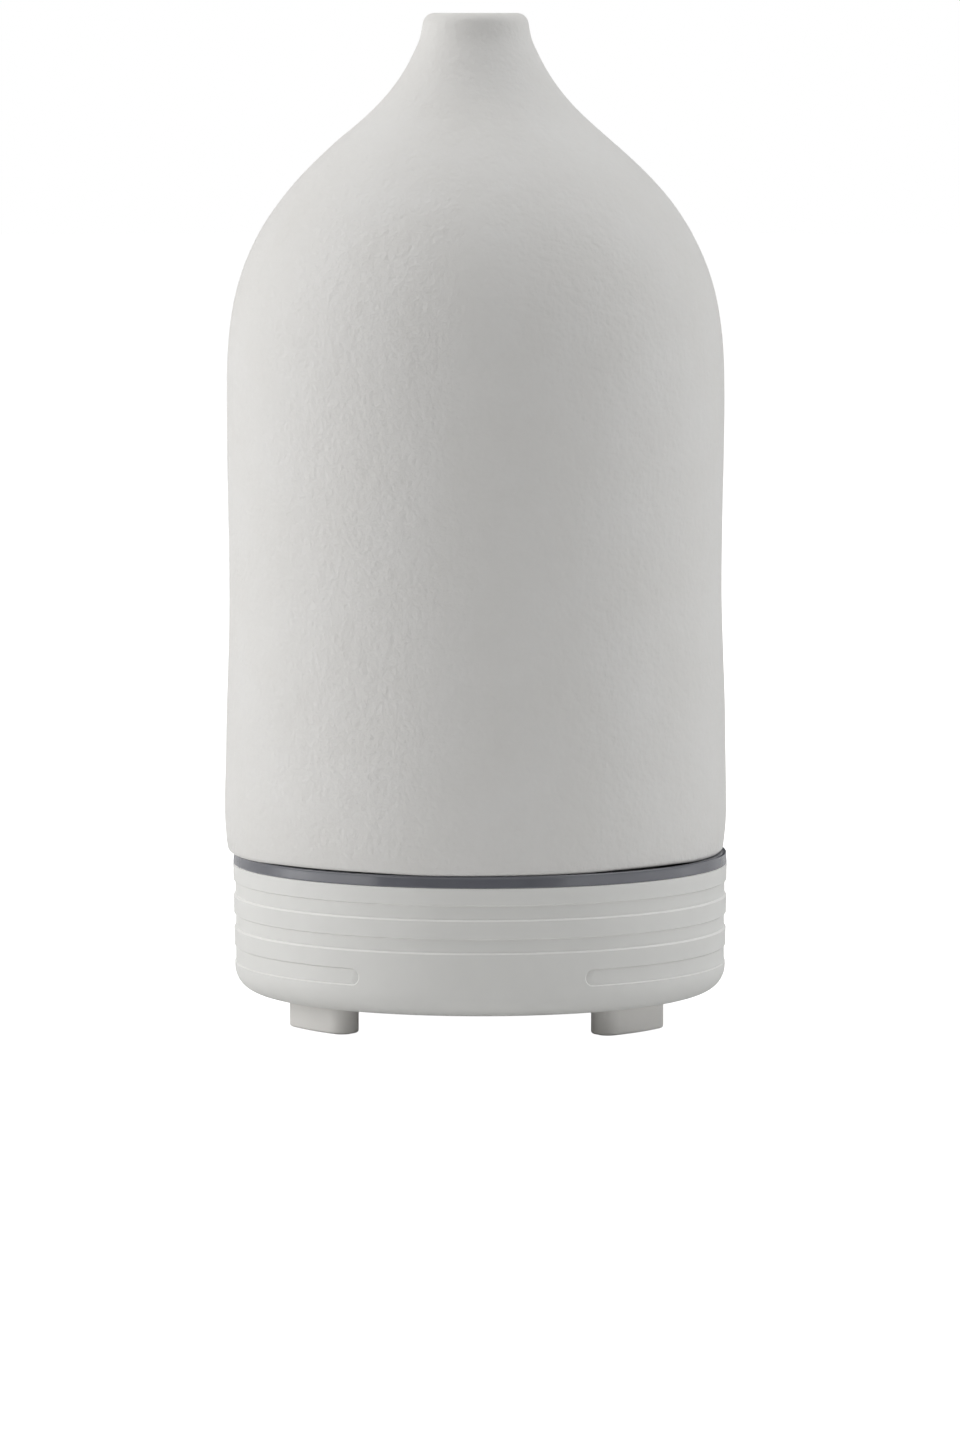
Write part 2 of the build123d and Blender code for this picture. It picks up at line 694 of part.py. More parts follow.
# Gathers the fan's air into the oval tower above it.
with BuildPart() as air_duct:
    with BuildSketch(Plane(origin=(0, FAN_Y, FAN_TOP))):
        RectangleRounded(FAN_SIDE, FAN_SIDE, 3.0)
        with GridLocations(FAN_HOLES, FAN_HOLES, 2, 2):
            Circle(1.6, mode=Mode.SUBTRACT)
    extrude(amount=1.5)
    with BuildSketch(Plane(origin=(0, FAN_Y, FAN_TOP + 1.5))):
        Circle(14.4)
    with BuildSketch(Plane(origin=(0, TOWER_Y, 31.0))):
        Ellipse(*TOWER_OUTER)
    loft()
    with BuildSketch(Plane(origin=(0, TOWER_Y, 31.0))):
        Ellipse(*TOWER_OUTER)
    extrude(amount=DUCT_TOP - 31.0)
    with BuildSketch(Plane(origin=(0, FAN_Y, FAN_TOP))):
        Circle(13.1)
    extrude(amount=1.5, mode=Mode.SUBTRACT)
    with BuildSketch(Plane(origin=(0, FAN_Y, FAN_TOP + 1.5))):
        Circle(13.1)
    with BuildSketch(Plane(origin=(0, TOWER_Y, 31.0))):
        Ellipse(*TOWER_INNER)
    loft(mode=Mode.SUBTRACT)
    with BuildSketch(Plane(origin=(0, TOWER_Y, 31.0))):
        Ellipse(*TOWER_INNER)
    extrude(amount=DUCT_TOP - 31.0, mode=Mode.SUBTRACT)
save(air_duct, "air_duct")

with BuildPart() as duct_seal:
    with BuildSketch(Plane(origin=(0, TOWER_Y, DUCT_TOP))):
        Ellipse(*TOWER_OUTER)
        Ellipse(*TOWER_INNER, mode=Mode.SUBTRACT)
    extrude(amount=SPIGOT_BOTTOM - DUCT_TOP)
save(duct_seal, "duct_seal")

with BuildPart() as fan_screws:
    with Locations((0, FAN_Y, FAN_TOP + 1.5 + 1.5)):
        with GridLocations(FAN_HOLES, FAN_HOLES, 2, 2):
            add(screw(2.2, 1.5, 1.25, 13.6), rotation=(180, 0, 0))
save(fan_screws, "fan_screws")

# ---- boards ---------------------------------------------------------------------------------------

# Half-moon board in the front half of the base, notched round the front boss.
with BuildPart() as main_board:
    with BuildSketch(Plane.XY.offset(BOARD_BOTTOM)):
        Circle(BOARD_RADIUS)
        with Locations((0, BOARD_RADIUS - 2)):
            Rectangle(2 * BOARD_RADIUS + 1, 2 * BOARD_RADIUS, mode=Mode.SUBTRACT)
        with Locations((0, -COVER_SCREW_RADIUS)):
            Circle(4.0, mode=Mode.SUBTRACT)
        with Locations(*BOARD_SCREW_POINTS):
            Circle(1.3, mode=Mode.SUBTRACT)
    extrude(amount=BOARD_THICKNESS)
save(main_board, "main_board")

with BuildPart() as board_screws:
    for x, y in BOARD_SCREW_POINTS:
        with Locations((x, y, BOARD_BOTTOM - 1.2)):
            add(screw(2.1, 1.2, 1.0, 7.0))
save(board_screws, "board_screws")

SINK_X = -10.5
SINK_Y = -13.0

# Finned sink standing under the board, with the driver transistor on its flat back.
with BuildPart() as heat_sink:
    with BuildSketch(Plane.XY.offset(11.0)):
        with Locations((SINK_X, SINK_Y - 1)):
            Rectangle(15.0, 2.0)
        with Locations((SINK_X, SINK_Y - 5)):
            with GridLocations(3.4, 1, 5, 1):
                Rectangle(1.0, 7.0)
    extrude(amount=BOARD_BOTTOM - 11.0)
save(heat_sink, "heat_sink")

with BuildPart() as driver_transistor:
    with BuildSketch(Plane.XY.offset(12.0)):
        with Locations((SINK_X, SINK_Y + 0.65)):
            Rectangle(10.0, 1.3)
    extrude(amount=7.6)
    with BuildSketch(Plane.XY.offset(13.0)):
        with Locations((SINK_X, SINK_Y + 2.2)):
            Rectangle(10.0, 3.2)
    extrude(amount=6.6)
    with BuildSketch(Plane.XY.offset(19.6)):
        with Locations((SINK_X, SINK_Y + 2.2)):
            with GridLocations(2.54, 1, 3, 1):
                Rectangle(0.8, 0.6)
    extrude(amount=BOARD_BOTTOM - 19.6)
save(driver_transistor, "driver_transistor")

with BuildPart() as power_inductor:
    with Locations((12, -11, BOARD_TOP)):
        Cylinder(4.9, 1.0, align=(Align.CENTER, Align.CENTER, Align.MIN))
    with Locations((12, -11, BOARD_TOP + 1.0)):
        Cylinder(3.9, 4.2, align=(Align.CENTER, Align.CENTER, Align.MIN))
    with Locations((12, -11, BOARD_TOP + 5.2)):
        Cylinder(4.9, 1.0, align=(Align.CENTER, Align.CENTER, Align.MIN))
save(power_inductor, "power_inductor")

# (x, y, radius, height) of each electrolytic can.
CANS = ((-9, -23, 3.15, 9.0), (-12, -11.5, 4.0, 6.8), (18, -22, 2.5, 8.0))

with BuildPart() as capacitors:
    for x, y, radius, height in CANS:
        with BuildSketch(Plane(origin=(x, y, BOARD_TOP))):
            Circle(radius)
        extrude(amount=height)
        with BuildSketch(Plane(origin=(x, y, BOARD_TOP + height))):
            Rectangle(radius * 1.5, 0.3)
            Rectangle(0.3, radius * 1.5)
        extrude(amount=-0.3, mode=Mode.SUBTRACT)
save(capacitors, "capacitors")

# (x, y, ways) of each lead socket; all of them open upwards.
SOCKETS = ((3, -13, 2), (-25, -15, 3), (27, -14, 3))

with BuildPart() as wire_sockets:
    for x, y, ways in SOCKETS:
        length = 2.5 * ways + 2.4
        with BuildSketch(Plane(origin=(x, y, BOARD_TOP))):
            Rectangle(length, 5.4)
        extrude(amount=5.6)
        with BuildSketch(Plane(origin=(x, y, BOARD_TOP + 1.2))):
            Rectangle(length - 1.6, 3.8)
        extrude(amount=4.4, mode=Mode.SUBTRACT)
save(wire_sockets, "wire_sockets")

with BuildPart() as led_board:
    with BuildSketch(Plane.XY.offset(LED_BOARD_BOTTOM)):
        Circle(42.2)
        Circle(37.3, mode=Mode.SUBTRACT)
    extrude(amount=LED_BOARD_TOP - LED_BOARD_BOTTOM)
save(led_board, "led_board")

with BuildPart() as leds:
    with BuildSketch(Plane.XY.offset(LED_BOARD_TOP)):
        with PolarLocations(LED_RADIUS, LED_COUNT):
            Rectangle(2.4, 3.2)
    extrude(amount=0.75)
save(leds, "leds")

# ---- power inlet ----------------------------------------------------------------------------------


def inlet_plane(depth):
    """A plane across the power inlet's axis, this far back from the middle of the base."""
    return Plane(origin=(0, depth, JACK_HEIGHT), x_dir=(1, 0, 0), z_dir=(0, 1, 0))


with BuildPart() as dc_jack:
    with BuildSketch(inlet_plane(30.2)):
        Rectangle(9.0, 7.5)
    extrude(amount=11.8)
    with BuildSketch(inlet_plane(42.0)):
        Circle(3.7)
    extrude(amount=JACK_FRONT - 42.0)
    fillet(dc_jack.edges().group_by(Axis.Y)[-1], 0.25)
    with BuildSketch(inlet_plane(PIN_BASE)):
        Circle(JACK_BORE)
    extrude(amount=JACK_FRONT - PIN_BASE, mode=Mode.SUBTRACT)
save(dc_jack, "dc_jack")

with BuildPart() as dc_jack_pin:
    with BuildSketch(inlet_plane(PIN_BASE)):
        Circle(JACK_PIN)
    extrude(amount=PIN_TIP - PIN_BASE)
    chamfer(dc_jack_pin.edges().group_by(Axis.Y)[-1], 0.3)
save(dc_jack_pin, "dc_jack_pin")

# ---- keys and their switches ----------------------------------------------------------------------


def key(side):
    """A long key: round-ended face, a flange behind the wall, and a stem towards its switch."""
    low = KEY_WINDOW[0] + KEY_SIDE_GAP
    high = KEY_WINDOW[1] - KEY_SIDE_GAP
    centre = -90 + side * KEY_CENTRE
    face_half = KEY_HALF - degrees(KEY_END_GAP / KEY_FLOOR_RADIUS)
    flange_half = KEY_HALF + 1.5
    with BuildPart() as button:
        add(round_ended_band(42.0, KEY_FLOOR_RADIUS, low, high, centre - face_half, centre + face_half))
        with BuildSketch(Plane.XY.offset(low - 1.0)):
            with BuildLine():
                front = CenterArc((0, 0), 42.1, centre - flange_half, 2 * flange_half)
                back = CenterArc((0, 0), 41.2, centre - flange_half, 2 * flange_half)
                Line(front @ 0, back @ 0)
                Line(front @ 1, back @ 1)
            make_face()
        extrude(amount=high - low + 2.0)
        with BuildSketch(key_plane(side, STEM_END, KEY_HEIGHT)):
            Circle(1.6)
        extrude(amount=41.6 - STEM_END)
    return button


def plunger(side):
    """The sliding stem of a switch."""
    with BuildPart() as stem:
        with BuildSketch(key_plane(side, SWITCH_BACK + 1.3, KEY_HEIGHT)):
            Circle(1.7)
        extrude(amount=STEM_END - SWITCH_BACK - 1.3)
    return stem


save(key(1), "mist_button")
save(key(-1), "light_button")
save(plunger(1), "mist_switch_plunger")
save(plunger(-1), "light_switch_plunger")

with BuildPart() as tact_switches:
    for side in (1, -1):
        with BuildSketch(key_plane(side, SWITCH_BACK, KEY_HEIGHT)):
            Rectangle(6.0, 6.0)
        extrude(amount=SWITCH_FACE - SWITCH_BACK)
        with BuildSketch(key_plane(side, SWITCH_BACK + 0.7, KEY_HEIGHT)):
            Circle(1.76)
        extrude(amount=SWITCH_FACE - SWITCH_BACK - 0.7, mode=Mode.SUBTRACT)
save(tact_switches, "tact_switches")

with BuildPart() as switch_boards:
    for side in (1, -1):
        with BuildSketch(key_plane(side, SWITCH_BACK - BOARD_THICKNESS, 12.1)):
            Rectangle(9.8, 15.0)
        extrude(amount=BOARD_THICKNESS)
save(switch_boards, "switch_boards")

# ---- leads ----------------------------------------------------------------------------------------



def power_run(height, end):
    """From the inlet's side, round the fan at this height, then up to the board at y = end."""
    return ((4.5, 35.5, height), (12, 35.5, height), (21, 26, height), (21, end, height), (21, end, BOARD_BOTTOM))


def fan_run(x):
    """From the fan frame's front up to the board."""
    return ((x, FAN_Y - FAN_SIDE / 2, 14), (x, -5, 14), (x, -5, BOARD_BOTTOM))


def disc_run(x):
    """From under the transducer, over and down into its socket."""
    return ((x, -1.5, 33.9), (x, -1.5, 30.4), (x, -12.6, 30.4), (x, -12.6, BOARD_TOP + 1.2))


def led_run(angle):
    """From the LED board down and across to the main board."""
    outer = on_circle(38.6, angle)
    inner = on_circle(31.6, angle)
    return ((*outer, LED_BOARD_BOTTOM), (*outer, 19.4), (*inner, 19.4), (*inner, BOARD_BOTTOM))


def switch_run(side, offset):
    """From a switch board inwards and up to the main board."""
    start = key_plane(side, SWITCH_BACK - BOARD_THICKNESS, 15.0)
    local_points = ((0, offset, 0), (0, offset, -3.2), (BOARD_BOTTOM - 15.0, offset, -3.2))
    return [start.from_local_coords(point) for point in local_points]


LEADS = {
    "power_leads": (3.5, [power_run(10.8, -7.0), power_run(12.8, -5.2)]),
    "fan_leads": (1.6, [fan_run(6.0), fan_run(7.8)]),
    "transducer_leads": (1.8, [disc_run(2.0), disc_run(4.0)]),
    "led_leads": (1.3, [led_run(-28), led_run(-31)]),
    "switch_leads": (1.6, [switch_run(side, offset) for side in (1, -1) for offset in (-1.4, 1.4)]),
}

for label, (bend, runs) in LEADS.items():
    with BuildPart() as leads:
        for run in runs:
            with BuildLine() as route:
                FilletPolyline(*run, radius=bend)
            with BuildSketch(Plane(origin=route.line @ 0, z_dir=route.line % 0)):
                Circle(LEAD / 2)
            sweep(path=route.line)
    save(leads, label)
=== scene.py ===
import bmesh
import bpy
import json
from math import atan2, cos, degrees, exp, pi, radians, sin, sqrt
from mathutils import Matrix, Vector, noise


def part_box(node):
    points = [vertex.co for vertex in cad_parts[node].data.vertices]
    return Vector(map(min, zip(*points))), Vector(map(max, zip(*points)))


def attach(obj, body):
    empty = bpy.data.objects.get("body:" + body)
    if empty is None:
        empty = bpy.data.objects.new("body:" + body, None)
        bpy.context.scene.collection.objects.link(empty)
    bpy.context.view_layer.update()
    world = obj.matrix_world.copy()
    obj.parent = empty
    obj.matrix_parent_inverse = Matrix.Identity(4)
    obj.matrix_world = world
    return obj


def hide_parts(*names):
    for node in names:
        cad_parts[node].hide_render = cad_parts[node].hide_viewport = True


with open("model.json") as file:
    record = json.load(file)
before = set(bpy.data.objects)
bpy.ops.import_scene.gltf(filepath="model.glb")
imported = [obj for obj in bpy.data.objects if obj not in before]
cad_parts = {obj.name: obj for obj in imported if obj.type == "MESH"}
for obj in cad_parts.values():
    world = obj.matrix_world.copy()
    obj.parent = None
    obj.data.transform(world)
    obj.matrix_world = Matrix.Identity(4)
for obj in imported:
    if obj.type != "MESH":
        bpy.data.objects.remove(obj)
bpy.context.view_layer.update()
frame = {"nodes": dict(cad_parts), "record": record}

MM = 0.001
NODES = frame["nodes"]
CAD_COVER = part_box("ceramic_cover")
CAD_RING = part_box("light_ring")
COVER_FOOT = CAD_COVER[0].z / MM
COVER_TOP = CAD_COVER[1].z / MM

# ---- camera, light and floor -----------------------------------------------------------------

IMAGE_LONG_SIDE = 1450
FOCAL_PIXELS = 7758
CAMERA_DISTANCE = 1.409
CAMERA_HEIGHT = 0.1828
CAMERA_AZIMUTH = radians(2.0)
CAMERA_PITCH = radians(3.8)
CAMERA_SHIFT = -0.1361

COOL = (0.98, 0.99, 1.0)
LIGHT_AIM = Vector((0, 0, 0.09))
FLOOR_REACH = 5.0
FLOOR_STEPS = 96
FLOOR_LEVEL = -0.05  # mm, just under the foot pads, so that floor and pads don't share a plane


def add_camera():
    """A long lens level with the top of the object, looking a little down."""
    data = bpy.data.cameras.new("camera")
    data.sensor_width = 36.0
    data.lens = data.sensor_width * FOCAL_PIXELS / IMAGE_LONG_SIDE
    data.shift_y = CAMERA_SHIFT
    data.clip_end = 50.0
    camera = bpy.data.objects.new("camera", data)
    bpy.context.scene.collection.objects.link(camera)
    camera.location = (
        CAMERA_DISTANCE * sin(CAMERA_AZIMUTH),
        -CAMERA_DISTANCE * cos(CAMERA_AZIMUTH),
        CAMERA_HEIGHT,
    )
    camera.rotation_euler = (pi / 2 - CAMERA_PITCH, 0, CAMERA_AZIMUTH)
    bpy.context.scene.camera = camera


def add_softbox(name, azimuth, elevation, distance, width, height, radiance, color=(1, 1, 1)):
    """A rectangular soft light at this bearing from the object's middle, facing it.

    Angles are in degrees, azimuth 0 being the front, and lengths are in metres.
    """
    data = bpy.data.lights.new(name, "AREA")
    data.shape = "RECTANGLE"
    data.size = width
    data.size_y = height
    data.energy = radiance * pi * width * height
    data.color = color
    lamp = bpy.data.objects.new(name, data)
    bpy.context.scene.collection.objects.link(lamp)
    bearing = radians(azimuth)
    rise = radians(elevation)
    outward = Vector((sin(bearing) * cos(rise), -cos(bearing) * cos(rise), sin(rise)))
    lamp.location = LIGHT_AIM + outward * distance
    lamp.rotation_mode = "QUATERNION"
    lamp.rotation_quaternion = outward.to_track_quat("Z", "Y")


def add_world(strength, backdrop):
    """Even studio light, with a white backdrop behind it for the camera."""
    world = bpy.data.worlds.new("studio")
    bpy.context.scene.world = world
    world.use_nodes = True
    nodes = world.node_tree.nodes
    links = world.node_tree.links
    nodes.clear()
    output = nodes.new("ShaderNodeOutputWorld")
    mix = nodes.new("ShaderNodeMixShader")
    path = nodes.new("ShaderNodeLightPath")
    fill = nodes.new("ShaderNodeBackground")
    seen = nodes.new("ShaderNodeBackground")
    fill.inputs["Color"].default_value = (1, 1, 1, 1)
    seen.inputs["Color"].default_value = (1, 1, 1, 1)
    fill.inputs["Strength"].default_value = strength
    seen.inputs["Strength"].default_value = backdrop
    links.new(path.outputs["Is Camera Ray"], mix.inputs["Fac"])
    links.new(fill.outputs["Background"], mix.inputs[1])
    links.new(seen.outputs["Background"], mix.inputs[2])
    links.new(mix.outputs["Shader"], output.inputs["Surface"])


def add_floor():
    """A pale round floor under the object."""
    mesh = bpy.data.meshes.new("studio_floor")
    angles = [2 * pi * i / FLOOR_STEPS for i in range(FLOOR_STEPS)]
    rim = [(FLOOR_REACH * cos(a), FLOOR_REACH * sin(a), FLOOR_LEVEL * MM) for a in angles]
    mesh.from_pydata(rim, [], [list(range(FLOOR_STEPS))])
    floor = bpy.data.objects.new("studio_floor", mesh)
    bpy.context.scene.collection.objects.link(floor)
    material = bpy.data.materials.new("pale_floor")
    material.use_nodes = True
    nodes = material.node_tree.nodes
    shader = nodes["Principled BSDF"]
    shader.inputs["Base Color"].default_value = (0.85, 0.85, 0.85, 1)
    shader.inputs["Roughness"].default_value = 0.9
    shader.inputs["Emission Color"].default_value = (1, 1, 1, 1)
    path = nodes.new("ShaderNodeLightPath")
    material.node_tree.links.new(path.outputs["Is Camera Ray"], shader.inputs["Emission Strength"])
    mesh.materials.append(material)


add_camera()
# azimuth, elevation, distance, width, height, radiance, colour
add_softbox("soft_left", -74, 8, 1.1, 1.15, 1.5, 1.65)
add_softbox("soft_left_behind", -95, 20, 1.1, 0.6, 1.5, 0.85)
add_softbox("soft_right", 80, 2, 1.1, 1.9, 0.5, 1.0, COOL)
add_softbox("soft_high_left", -90, 50, 1.2, 1.2, 0.8, 0.75)
add_softbox("soft_high_right", 90, 50, 1.2, 1.2, 0.8, 2.05, COOL)
add_softbox("soft_top", 0, 85, 1.2, 1.2, 1.2, 0.6)
add_softbox("soft_back", 180, 50, 1.2, 1.2, 0.8, 0.65)
add_softbox("soft_low_back_left", -129, 4, 1.2, 0.9, 0.3, 0.7)
add_softbox("soft_low_back_right", 130, 4, 1.2, 0.9, 0.3, 0.9, COOL)
add_world(0.06, 1.0)
add_floor()
bpy.context.scene.view_settings.view_transform = "Standard"

# ---- materials -------------------------------------------------------------------------------

BASE_COLOR = (0.805, 0.801, 0.775)
# lighter colour painted on the up-facing groove slopes as a highlight
SLOPE_HIGHLIGHT_COLOR = (0.94, 0.935, 0.91)
MIX_FACTOR, MIX_FIRST, MIX_SECOND, MIX_RESULT = 0, 6, 7, 2  # the Mix node's colour sockets


class Surface:
    """A procedural material under construction: nodes in the object's own metres."""

    def __init__(self, name, color, roughness, **inputs):
        self.material = bpy.data.materials.new(name)
        self.material.use_nodes = True
        self.nodes = self.material.node_tree.nodes
        self.links = self.material.node_tree.links
        self.shader = self.nodes["Principled BSDF"]
        self.shader.inputs["Base Color"].default_value = (*color, 1)
        self.shader.inputs["Roughness"].default_value = roughness
        for key, value in inputs.items():
            self.shader.inputs[key.replace("_", " ")].default_value = value
        self.place = self.nodes.new("ShaderNodeTexCoord").outputs["Object"]
        self.color = color
        self.roughness = roughness
        self.height = None

    def scaled(self, factors):
        """The place on the object, each axis times its factor."""
        node = self.nodes.new("ShaderNodeVectorMath")
        node.operation = "MULTIPLY"
        node.inputs[1].default_value = factors
        self.links.new(self.place, node.inputs[0])
        return node.outputs[0]

    def noise(self, size, detail=2.0, stretch=(1, 1, 1)):
        """Noise whose features are about this many millimetres across."""
        place = self.scaled(stretch)
        texture = self.nodes.new("ShaderNodeTexNoise")
        texture.inputs["Scale"].default_value = 1 / (size * MM)
        texture.inputs["Detail"].default_value = detail
        self.links.new(place, texture.inputs["Vector"])
        return texture.outputs["Fac"]

    def remap(self, value, low, high, to_low, to_high):
        """value from low..high becomes to_low..to_high, clamped."""
        node = self.nodes.new("ShaderNodeMapRange")
        limits = {"From Min": low, "From Max": high, "To Min": to_low, "To Max": to_high}
        for key, number in limits.items():
            node.inputs[key].default_value = number
        self.links.new(value, node.inputs["Value"])
        return node.outputs["Result"]

    def tint(self, value, low, high):
        """Base colour runs between two factors of itself as value goes from 0.3 to 0.7."""
        ramp = self.nodes.new("ShaderNodeValToRGB")
        ramp.color_ramp.elements[0].position = 0.3
        ramp.color_ramp.elements[1].position = 0.7
        ramp.color_ramp.elements[0].color = (*[c * k for c, k in zip(self.color, low)], 1)
        ramp.color_ramp.elements[1].color = (*[c * k for c, k in zip(self.color, high)], 1)
        self.links.new(value, ramp.inputs["Fac"])
        self.links.new(ramp.outputs["Color"], self.shader.inputs["Base Color"])
        return ramp

    def wear(self, value, spread):
        """Roughness varies by this much either way."""
        rough = self.remap(value, 0.3, 0.7, self.roughness - spread, self.roughness + spread)
        self.links.new(rough, self.shader.inputs["Roughness"])

    def relief(self, value, depth):
        """Adds fine relief this many millimetres deep to the surface's normal."""
        bump = self.nodes.new("ShaderNodeBump")
        bump.inputs["Distance"].default_value = depth * MM
        self.links.new(value, bump.inputs["Height"])
        if self.height is not None:
            self.links.new(self.height, bump.inputs["Normal"])
        self.height = bump.outputs["Normal"]
        self.links.new(self.height, self.shader.inputs["Normal"])


def moulded(name, color, roughness, grain=0.25, depth=0.01, mottle=0.02, spread=0.04, **inputs):
    """A moulded plastic or rubber: fine grain, faint mottling, slightly uneven gloss."""
    surface = Surface(name, color, roughness, **inputs)
    broad = surface.noise(9.0, 3.0)
    surface.tint(broad, [1 - mottle] * 3, [1 + mottle] * 3)
    surface.wear(surface.noise(4.0, 2.0), spread)
    surface.relief(surface.noise(grain, 2.0), depth)
    return surface.material


def base_material():
    """Satin moulded plastic, with a painted highlight: a lighter colour on the small slopes that
    face up beside the grooves, where light catches them.
    """
    surface = Surface("base_plastic", BASE_COLOR, 0.5)
    ramp = surface.tint(surface.noise(9.0, 3.0), [0.985] * 3, [1.015] * 3)
    surface.wear(surface.noise(4.0, 2.0), 0.04)
    surface.relief(surface.noise(0.25, 2.0), 0.01)
    # painted highlight: faces that lean away from straight out and don't face down (the up-facing
    # groove slopes) get a lighter colour
    radial = surface.nodes.new("ShaderNodeVectorMath")
    radial.operation = "NORMALIZE"
    surface.links.new(surface.scaled((1, 1, 0)), radial.inputs[0])
    facing = surface.nodes.new("ShaderNodeNewGeometry").outputs["True Normal"]
    lean = surface.nodes.new("ShaderNodeVectorMath")
    lean.operation = "DOT_PRODUCT"
    surface.links.new(radial.outputs[0], lean.inputs[0])
    surface.links.new(facing, lean.inputs[1])
    parts = surface.nodes.new("ShaderNodeSeparateXYZ")
    surface.links.new(facing, parts.inputs[0])
    highlight_mask = surface.nodes.new("ShaderNodeMath")
    highlight_mask.operation = "MULTIPLY"
    surface.links.new(surface.remap(lean.outputs["Value"], 0.9, 0.8, 0, 1), highlight_mask.inputs[0])
    surface.links.new(surface.remap(parts.outputs["Z"], -0.3, -0.1, 0, 1), highlight_mask.inputs[1])
    painted_highlight = surface.nodes.new("ShaderNodeMix")
    painted_highlight.data_type = "RGBA"
    painted_highlight.inputs[MIX_SECOND].default_value = (*SLOPE_HIGHLIGHT_COLOR, 1)
    surface.links.new(highlight_mask.outputs[0], painted_highlight.inputs[MIX_FACTOR])
    surface.links.new(ramp.outputs["Color"], painted_highlight.inputs[MIX_FIRST])
    surface.links.new(painted_highlight.outputs[MIX_RESULT], surface.shader.inputs["Base Color"])
    return surface.material


def metal(name, color, roughness, stretch=(1, 1, 0.15), **inputs):
    """A plated or drawn metal with fine lines along one way."""
    surface = Surface(name, color, roughness, Metallic=1.0, **inputs)
    lines = surface.noise(0.35, 3.0, stretch)
    surface.tint(surface.noise(2.0, 3.0), (0.9, 0.9, 0.9), (1.05, 1.05, 1.05))
    surface.wear(lines, 0.08)
    surface.relief(lines, 0.01)
    return surface.material


def ceramic_material():
    """Matt porcelain: faint warm mottling, a soft orange-peel skin and a fine grain."""
    surface = Surface("matt_porcelain", (0.80, 0.789, 0.768), 0.62)
    surface.tint(surface.noise(14.0, 4.0), (0.985, 0.982, 0.975), (1.01, 1.01, 1.01))
    surface.wear(surface.noise(1.2, 2.0), 0.08)
    surface.relief(surface.noise(2.4, 1.5), 0.17)
    surface.relief(surface.noise(0.9, 2.0), 0.14)
    return surface.material


MATERIALS = {
    "ceramic": ceramic_material(),
    "base_plastic": base_material(),
    "key_plastic": moulded("key_plastic", BASE_COLOR, 0.46),
    "foot_plastic": moulded("foot_plastic", (0.80, 0.785, 0.755), 0.5),
    "cup_plastic": moulded("cup_plastic", (0.84, 0.845, 0.84), 0.42, 1.5, 0.002, 0.008, 0.015),
    "smoky_plastic": moulded(
        "smoky_plastic", (0.132, 0.136, 0.157), 0.22, depth=0.001, mottle=0.05, IOR=1.7
    ),
    "silicone": moulded("pale_silicone", (0.72, 0.72, 0.70), 0.6),
    "foam": moulded("dark_foam", (0.03, 0.03, 0.03), 0.9, grain=0.6, depth=0.1),
    "black_plastic": moulded("black_plastic", (0.02, 0.02, 0.021), 0.35),
    "socket_nylon": moulded("socket_nylon", (0.78, 0.75, 0.66), 0.4),
    "ferrite": moulded("ferrite", (0.035, 0.035, 0.037), 0.6, grain=0.4, depth=0.03),
    "lead_insulation": moulded("lead_insulation", (0.45, 0.03, 0.025), 0.4),
    "label_film": moulded("label_film", (0.62, 0.62, 0.61), 0.45, depth=0.003),
    "led_resin": moulded("led_resin", (0.85, 0.75, 0.32), 0.2, depth=0.003),
    "board": moulded("board_mask", (0.012, 0.12, 0.045), 0.3, grain=1.0, depth=0.02, mottle=0.15),
    "screw_steel": metal("screw_steel", (0.62, 0.61, 0.58), 0.32),
    "switch_steel": metal("switch_steel", (0.6, 0.6, 0.59), 0.3),
    "inlet_metal": metal("inlet_metal", (0.72, 0.70, 0.66), 0.22),
    "disc_metal": metal("disc_metal", (0.70, 0.66, 0.58), 0.3, (1, 1, 1)),
    "sink_aluminium": metal("sink_aluminium", (0.62, 0.63, 0.65), 0.4),
    "can_aluminium": metal("can_aluminium", (0.5, 0.52, 0.55), 0.3),
    "sintered_bronze": metal("sintered_bronze", (0.5, 0.34, 0.16), 0.5, (1, 1, 1)),
    "copper_winding": metal("copper_winding", (0.62, 0.27, 0.12), 0.35, (1, 1, 6)),
}

for row in frame["record"]["subparts"]:
    node_mesh = NODES[row["node"]].data
    node_mesh.materials.clear()
    node_mesh.materials.append(MATERIALS[row["material_slot"]])

# ---- building pieces -------------------------------------------------------------------------

SHARP_ANGLE = radians(40)
BEND_ANGLES = [radians(15 * i) for i in range(7)]
BAND_STEP = 0.6  # degrees


def add_piece(name, vertices, faces, body, slot, replaced):
    """A smooth-shaded mesh in millimetres becomes a piece on a body, in a CAD node's place."""
    mesh = bpy.data.meshes.new(name)
    mesh.from_pydata([(x * MM, y * MM, z * MM) for x, y, z in vertices], [], faces)
    mesh.polygons.foreach_set("use_smooth", [True] * len(mesh.polygons))
    mesh.materials.append(MATERIALS[slot])
    mesh.validate()
    mesh.set_sharp_from_angle(angle=SHARP_ANGLE)
    piece = bpy.data.objects.new(name, mesh)
    bpy.context.scene.collection.objects.link(piece)
    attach(piece, body)
    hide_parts(*replaced)


def eased(a, b, c, d, t):
    """The Catmull-Rom curve from b (t = 0) to c (t = 1), with a before them and d after."""
    square = (2 * a - 5 * b + 4 * c - d) * t * t
    cube = (3 * b - a - 3 * c + d) * t ** 3
    return 0.5 * (2 * b + (c - a) * t + square + cube)


def smooth_line(points, step):
    """Points about this far apart on a Catmull-Rom curve through the given ones."""
    ends = [points[0], *points, points[-1]]
    line = [points[0]]
    for before, start, end, after in zip(ends, ends[1:], ends[2:], ends[3:]):
        length = sqrt((end[0] - start[0]) ** 2 + (end[1] - start[1]) ** 2)
        count = max(1, round(length / step))
        for i in range(1, count + 1):
            t = i / count
            line.append(tuple(eased(*four, t) for four in zip(before, start, end, after)))
    return line


def arc(centre, radius, start, end, count):
    """Points on a circle's arc, angles in degrees."""
    angles = [radians(start + (end - start) * i / count) for i in range(count + 1)]
    return [(centre[0] + radius * cos(a), centre[1] + radius * sin(a)) for a in angles]


